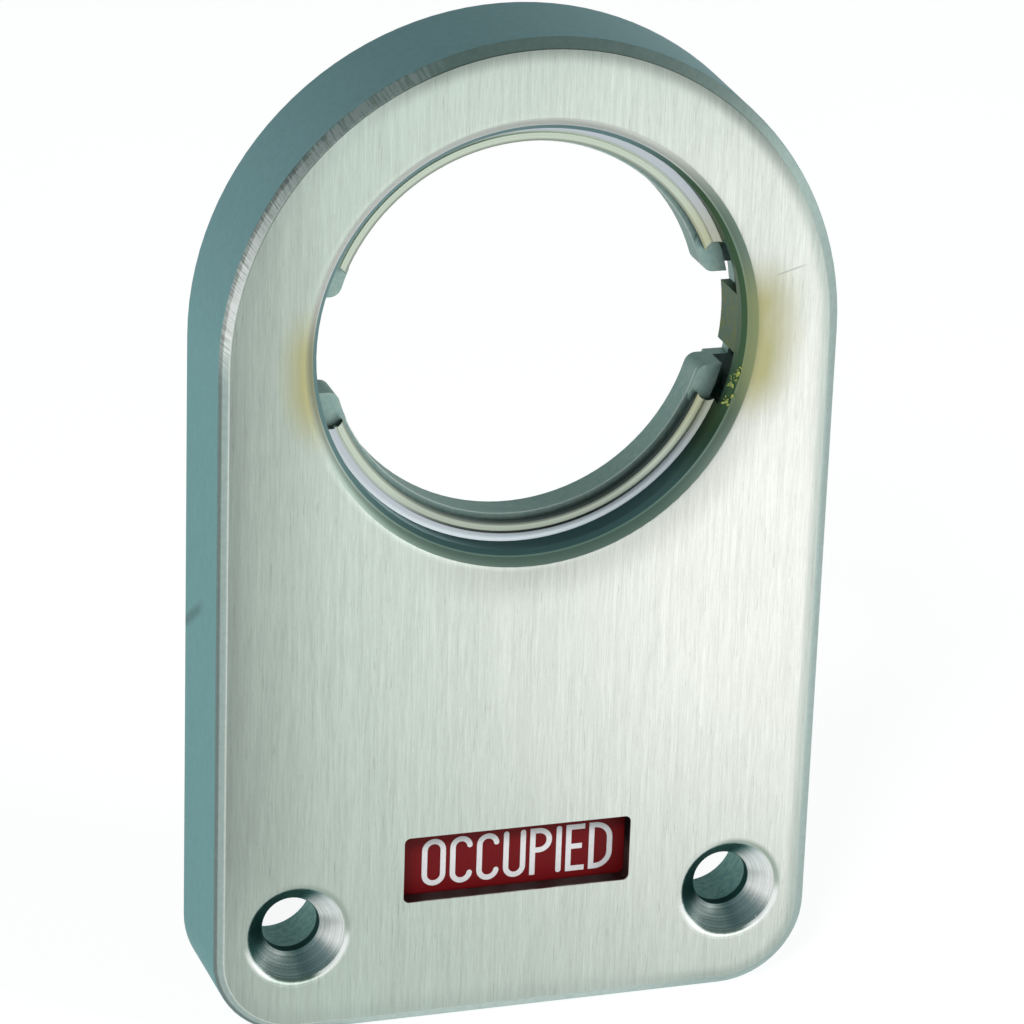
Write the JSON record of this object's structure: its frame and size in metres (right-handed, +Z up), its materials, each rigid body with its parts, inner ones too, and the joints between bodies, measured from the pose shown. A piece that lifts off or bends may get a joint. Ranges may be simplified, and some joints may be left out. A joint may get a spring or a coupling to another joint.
{
  "type": "door occupancy indicator",
  "caption": "Arched steel escutcheon that surrounds a lock's turn; a slotted drive ring in its bore lifts a two-colour flag behind a small window",
  "frame": {"origin": "the door plane on the axis of the bore, in the middle of the back plate's round opening", "axes": "+X right seen from the front, +Y back into the door along the bore's axis, +Z up along the casing's long side"},
  "size_m": [0.0514, 0.0097, 0.0835],
  "materials": {
    "casing_steel": "stainless steel, finely brushed up and down the face, with brazing heat tint beside the bore",
    "turned_steel": "bright turned steel",
    "strip_steel": "plain steel strip, heat tinted where it is brazed",
    "sleeve_steel": "dull grey steel",
    "sheet_steel": "rolled sheet steel",
    "plate_steel": "zinc plated sheet steel",
    "screw_steel": "plain machined steel",
    "washer_brass": "rolled brass",
    "spring_steel": "blued spring steel",
    "ring_steel": "matte blasted grey steel",
    "red_field": "satin red film",
    "green_field": "satin green film",
    "roller_plastic": "plain acetal"
  },
  "bodies": {
    "casing": {"front_casing": "casing_steel", "upper_seat_ring": "turned_steel", "lower_seat_ring": "turned_steel", "left_wear_strip": "strip_steel", "right_wear_strip": "strip_steel", "left_screw_sleeve": "sleeve_steel", "right_screw_sleeve": "sleeve_steel", "left_flag_guide": "sheet_steel", "right_flag_guide": "sheet_steel", "plate_posts": "sleeve_steel", "back_plate": "plate_steel", "plate_screws": "screw_steel", "thrust_washer": "washer_brass", "disc_spring": "spring_steel"},
    "drive": {"drive_ring": "ring_steel"},
    "flag": {"flag_slide": "sheet_steel", "occupied_label": "red_field", "vacant_label": "green_field", "follower_pin": "screw_steel", "follower_roller": "roller_plastic"}
  },
  "joints": [
    {"name": "ring_turn", "type": "hinge", "parent": "casing", "child": "drive", "pos_m": [0, -0.003, 0], "axis": [0, 1, 0], "range_deg": [0, 36]},
    {"name": "flag_travel", "type": "slide", "parent": "casing", "child": "flag", "axis": [0, 0, 1], "range_m": [0, 0.0072]}
  ],
  "couplings": [
    {"joint": "flag_travel", "follows": "ring_turn", "m_per_rad": 0.011459}
  ]
}
